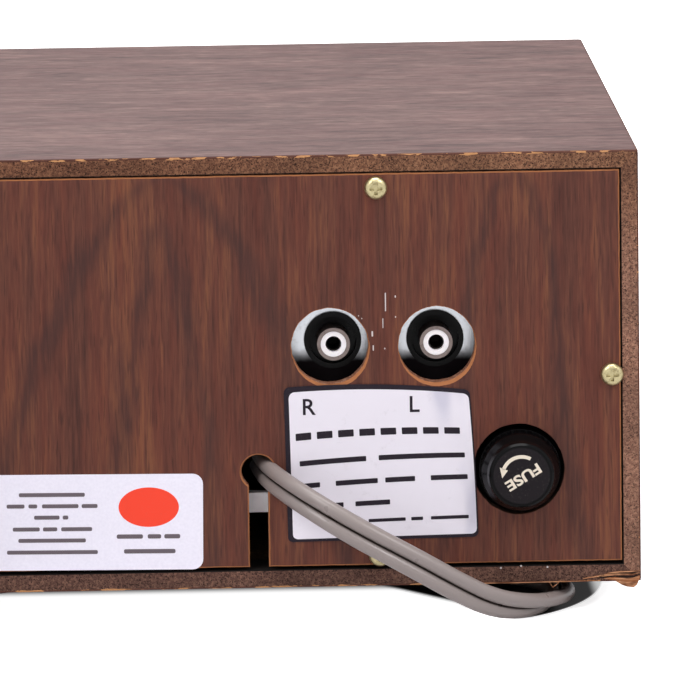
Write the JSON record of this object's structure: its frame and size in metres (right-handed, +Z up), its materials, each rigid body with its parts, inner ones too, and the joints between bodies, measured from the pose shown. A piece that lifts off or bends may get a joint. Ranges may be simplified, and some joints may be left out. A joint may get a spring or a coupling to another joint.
{
  "type": "8 track player",
  "caption": "Wood-cased shelf player for endless tape cartridges, with its door, dials, drive, amplifier, phono jacks, fuse and mains lead.",
  "frame": {"origin": "on the floor, in the middle of the player's outline without its mains lead", "axes": "+X to the right seen from the front, +Y to the rear, where the jacks are, +Z up"},
  "size_m": [0.3, 0.3446, 0.118],
  "materials": {
    "veneer": "thin walnut-grained veneer, low sheen",
    "walnut": "oiled walnut face, raw edges",
    "softwood": "raw",
    "yellow_zinc": "yellow zinc plated",
    "zinc_plate": "bright zinc plated sheet",
    "bare_steel": "plain steel",
    "tinned": "dull tin plate",
    "brass": "plain brass",
    "black_phenolic": "moulded black, semi-gloss",
    "black_plastic": "moulded black",
    "white_nylon": "natural nylon",
    "foil": "silver foil with printed border",
    "paper": "matt paper",
    "rubber": "moulded rubber",
    "fuse_glass": "clear glass with metal ends",
    "brushed_aluminium": "brushed, clear anodised",
    "spun_aluminium": "turned and fluted",
    "cream_plastic": "moulded",
    "lens": "smoked amber",
    "circuit_board": "resin-bonded paper board",
    "copper_coil": "taped winding",
    "laminations": "varnished laminations",
    "cast_zinc": "turned die casting",
    "cord": "grey-beige vinyl",
    "steel_blue_can": "drawn can with sleeve"
  },
  "bodies": {
    "cabinet": {"cabinet_top": "veneer", "cabinet_bottom": "veneer", "cabinet_left_side": "veneer", "cabinet_right_side": "veneer", "panel_blocks": "softwood", "back_panel": "walnut", "panel_screws": "yellow_zinc", "feet": "rubber", "wood_screws": "yellow_zinc", "front_fascia": "brushed_aluminium", "cartridge_bezel": "black_plastic", "door_hinge_pin": "bare_steel", "door_spring": "bare_steel", "control_pots": "bare_steel", "program_switch": "black_plastic", "lens_strip": "lens", "lamp_strip": "circuit_board", "jack_bracket": "zinc_plate", "jack_cups": "black_plastic", "jack_shells": "tinned", "jack_insulators": "white_nylon", "jack_contacts": "brass", "fuse_holder": "black_phenolic", "data_label": "foil", "blank_sticker": "paper", "cord_clamp": "white_nylon", "mains_cord": "cord", "cord_coil": "cord", "plug_body": "cord", "plug_blades": "brass", "deck_chassis": "zinc_plate", "capstan_bearing": "brass", "drive_motor": "zinc_plate", "drive_belt": "rubber", "solenoid": "bare_steel", "transformer_core": "laminations", "transformer_coil": "copper_coil", "amplifier_board": "circuit_board", "board_spacers": "white_nylon", "filter_capacitors": "steel_blue_can", "heat_sink": "steel_blue_can"},
    "volume": {"volume_knob": "spun_aluminium", "volume_shaft": "bare_steel"},
    "balance": {"balance_knob": "spun_aluminium", "balance_shaft": "bare_steel"},
    "tone": {"tone_knob": "spun_aluminium", "tone_shaft": "bare_steel"},
    "program": {"program_button": "cream_plastic"},
    "door": {"cartridge_door": "black_phenolic"},
    "flywheel": {"flywheel": "cast_zinc", "capstan_shaft": "bare_steel"},
    "pulley": {"motor_pulley": "brass"},
    "cam": {"program_cam": "white_nylon"},
    "carriage": {"head_carriage": "bare_steel", "tape_head": "tinned"},
    "plunger": {"solenoid_plunger": "bare_steel"},
    "latch": {"latch_lever": "bare_steel"},
    "roller": {"latch_roller": "white_nylon"},
    "fuse": {"fuse_tube": "fuse_glass"},
    "cap": {"fuse_cap": "black_phenolic"}
  },
  "joints": [
    {"name": "volume_turn", "type": "hinge", "parent": "cabinet", "child": "volume", "pos_m": [-0.118, -0.12, 0.052], "axis": [0, -1, 0], "range_deg": [0, 280]},
    {"name": "balance_turn", "type": "hinge", "parent": "cabinet", "child": "balance", "pos_m": [-0.082, -0.12, 0.052], "axis": [0, -1, 0], "range_deg": [-140, 140]},
    {"name": "tone_turn", "type": "hinge", "parent": "cabinet", "child": "tone", "pos_m": [-0.046, -0.12, 0.052], "axis": [0, -1, 0], "range_deg": [-140, 140]},
    {"name": "program_press", "type": "slide", "parent": "cabinet", "child": "program", "axis": [0, 1, 0], "range_m": [0, 0.0025], "stiffness_N_per_m": 300},
    {"name": "door_swing", "type": "hinge", "parent": "cabinet", "child": "door", "pos_m": [0.062, -0.10485, 0.0732], "axis": [1, 0, 0], "range_deg": [0, 90], "stiffness_Nm_per_rad": 0.01, "deforming": ["door_spring"]},
    {"name": "flywheel_spin", "type": "hinge", "parent": "cabinet", "child": "flywheel", "pos_m": [0.09, -0.01385, 0.03], "axis": [0, 0, 1], "continuous": true},
    {"name": "motor_spin", "type": "hinge", "parent": "cabinet", "child": "pulley", "pos_m": [0.022, 0.03315, 0.03], "axis": [0, 0, 1], "continuous": true},
    {"name": "cam_index", "type": "hinge", "parent": "cabinet", "child": "cam", "pos_m": [0.044, 0.00615, 0.052], "axis": [0, 0, 1], "range_deg": [0, 135]},
    {"name": "head_lift", "type": "slide", "parent": "cabinet", "child": "carriage", "axis": [0, 0, 1], "range_m": [0, 0.00235]},
    {"name": "plunger_pull", "type": "slide", "parent": "cabinet", "child": "plunger", "axis": [1, 0, 0], "range_m": [0, 0.005], "stiffness_N_per_m": 80},
    {"name": "latch_swing", "type": "hinge", "parent": "cabinet", "child": "latch", "pos_m": [0.0032, -0.02285, 0.053], "axis": [0, 0, -1], "range_deg": [0, 8], "stiffness_Nm_per_rad": 0.2},
    {"name": "roller_spin", "type": "hinge", "parent": "latch", "child": "roller", "pos_m": [0.0071, -0.05285, 0.058], "axis": [0, 0, 1], "continuous": true},
    {"name": "fuse_draw", "type": "slide", "parent": "cabinet", "child": "fuse", "axis": [0, 1, 0], "range_m": [0, 0.034]},
    {"name": "fuse_turn", "type": "hinge", "parent": "fuse", "child": "cap", "pos_m": [-0.1195, 0.11465, 0.0372], "axis": [0, 1, 0], "range_deg": [0, 60]}
  ],
  "couplings": [
    {"joint": "motor_spin", "follows": "flywheel_spin", "ratio": 5.3333},
    {"joint": "cam_index", "follows": "head_lift", "rad_per_m": 1002.6}
  ]
}
